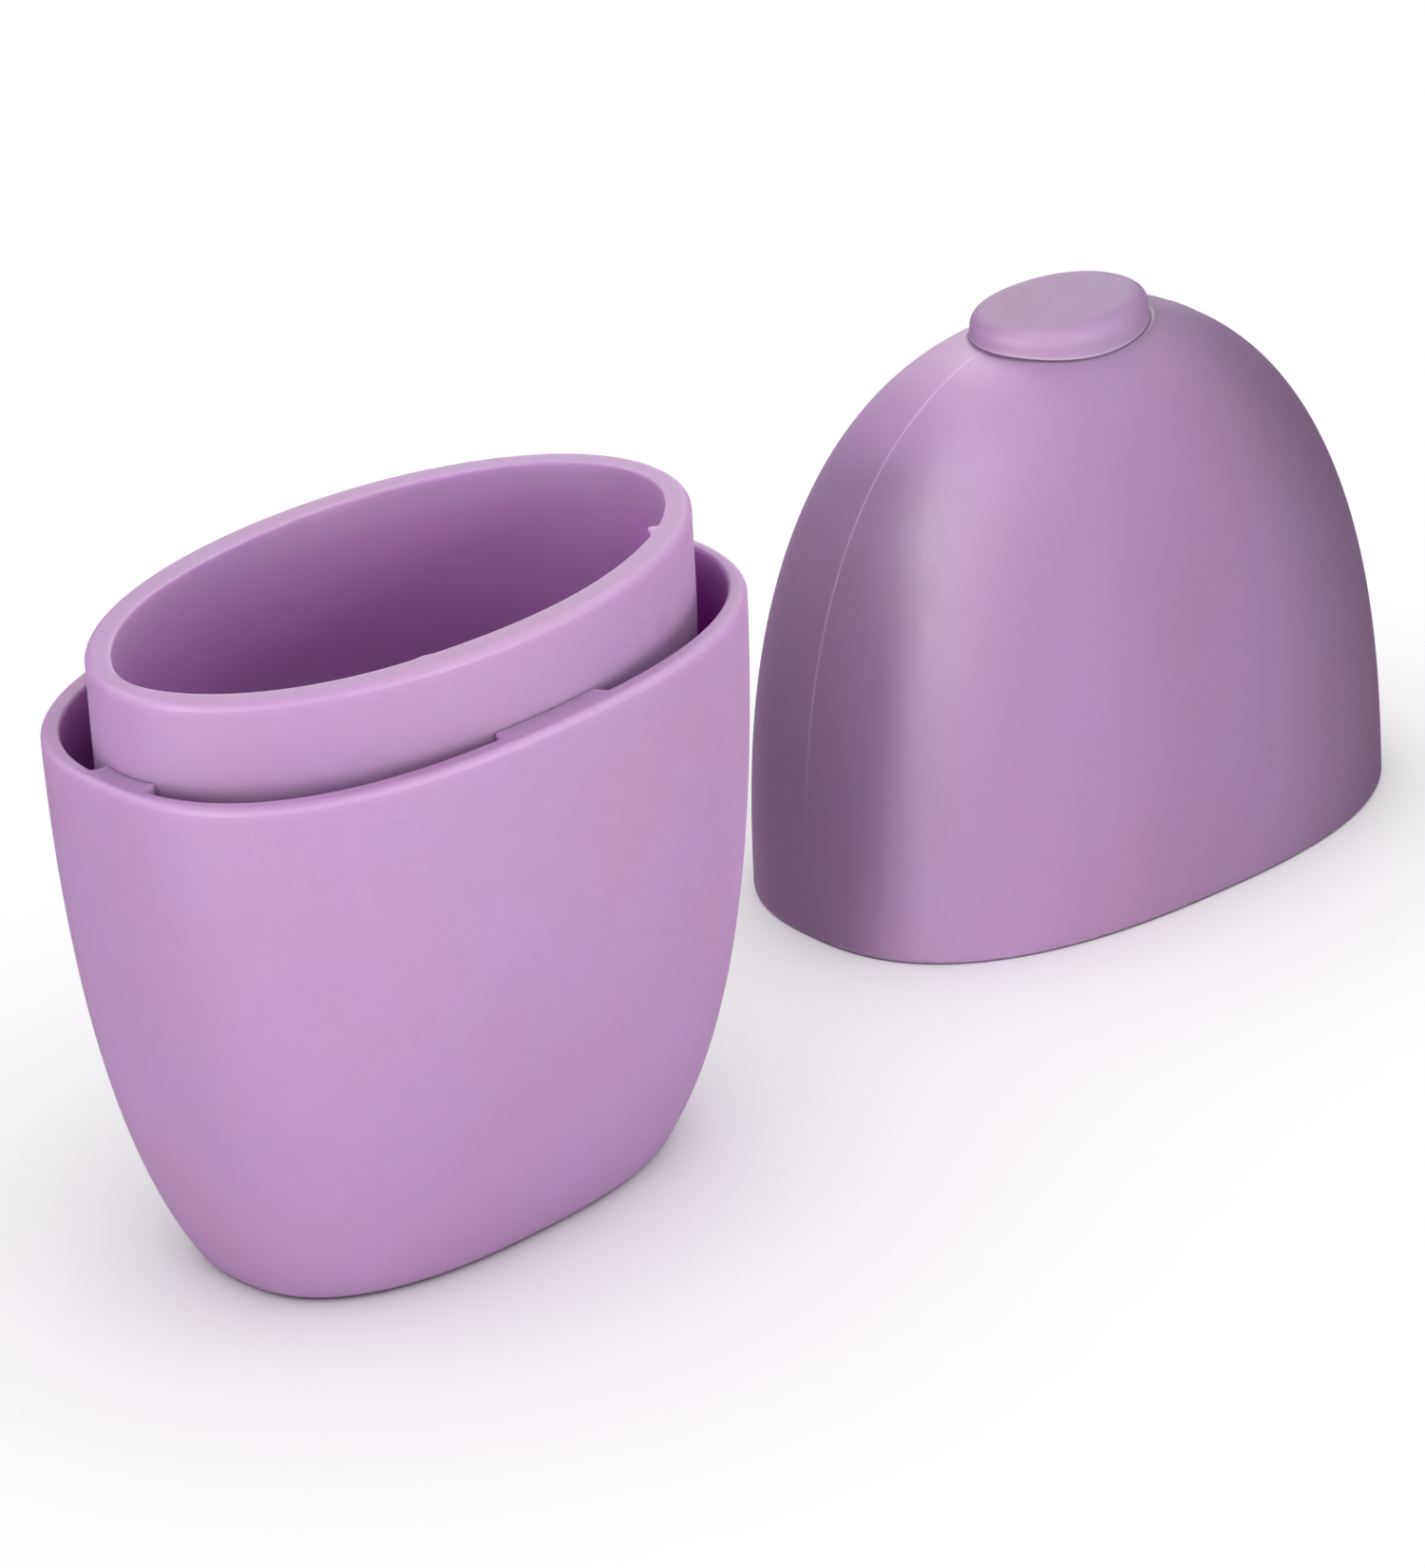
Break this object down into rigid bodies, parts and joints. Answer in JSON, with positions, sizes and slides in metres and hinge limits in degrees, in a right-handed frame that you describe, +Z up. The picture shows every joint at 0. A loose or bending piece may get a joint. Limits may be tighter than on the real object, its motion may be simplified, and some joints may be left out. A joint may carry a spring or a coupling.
{
  "type": "oval silicone cup with lid",
  "caption": "Oval silicone cup with a push-in inner liner whose collar stands above the rim, and a domed oval lid with a flat pad on its crown.",
  "frame": {"origin": "centre of the cup's flat foot, on the surface that the cup and the lid stand on", "axes": "+X along the cup's long axis towards the lid that stands beside it, +Y across the cup, +Z up"},
  "size_m": [0.1677, 0.053, 0.0636],
  "materials": {
    "shell_silicone": "matte lilac silicone",
    "liner_silicone": "matte lilac silicone, a shade deeper inside",
    "lid_silicone": "matte lilac silicone",
    "pad_silicone": "matte lilac silicone"
  },
  "bodies": {
    "cup": {"cup_shell": "shell_silicone"},
    "liner": {"inner_liner": "liner_silicone"},
    "lid": {"lid_dome": "lid_silicone", "lid_pad": "pad_silicone"}
  },
  "joints": [
    {"name": "liner_lift", "type": "slide", "parent": "cup", "child": "liner", "axis": [0, 0, 1], "range_m": [0, 0.06]},
    {"name": "lid_lift", "type": "slide", "parent": "cup", "child": "lid", "axis": [0, 0, 1], "range_m": [0, 0.07]}
  ]
}
